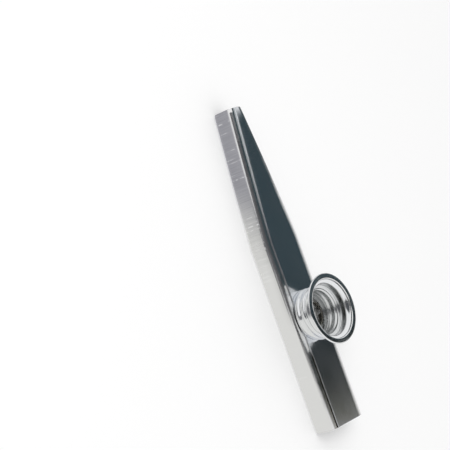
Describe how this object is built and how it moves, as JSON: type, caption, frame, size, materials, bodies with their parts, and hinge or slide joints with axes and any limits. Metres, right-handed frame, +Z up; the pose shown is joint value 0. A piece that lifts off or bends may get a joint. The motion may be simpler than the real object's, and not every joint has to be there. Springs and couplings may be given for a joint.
{
  "type": "kazoo",
  "caption": "Slim metal kazoo: a flat tapered tube open at both ends, with a flared screw cap that holds a humming film over its air hole.",
  "frame": {"origin": "under the middle of the outline, on the plane of the flat back", "axes": "+X towards the wide mouth end, +Z up the turret's axis, +Y across the body"},
  "size_m": [0.12, 0.0258, 0.0191],
  "materials": {
    "body_sheet": "fine crosswise brushing",
    "plate_sheet": "satin polish along the length",
    "turret_metal": "spun and polished",
    "film": "thin translucent film",
    "card": "plain card"
  },
  "bodies": {
    "body": {"body_channel": "body_sheet", "front_plate": "plate_sheet", "turret_collar": "turret_metal"},
    "film_seat": {"film": "film", "film_ring": "card"},
    "cap": {"turret_cap": "turret_metal"}
  },
  "joints": [
    {"name": "film_lift", "type": "slide", "parent": "body", "child": "film_seat", "axis": [0, 0, 1], "range_m": [0, 0.0049]},
    {"name": "cap_turn", "type": "hinge", "parent": "film_seat", "child": "cap", "pos_m": [0.0195, 0, 0.0145], "axis": [0, 0, 1], "range_deg": [0, 630]}
  ],
  "couplings": [
    {"joint": "film_lift", "follows": "cap_turn", "m_per_rad": 0.00044563}
  ]
}
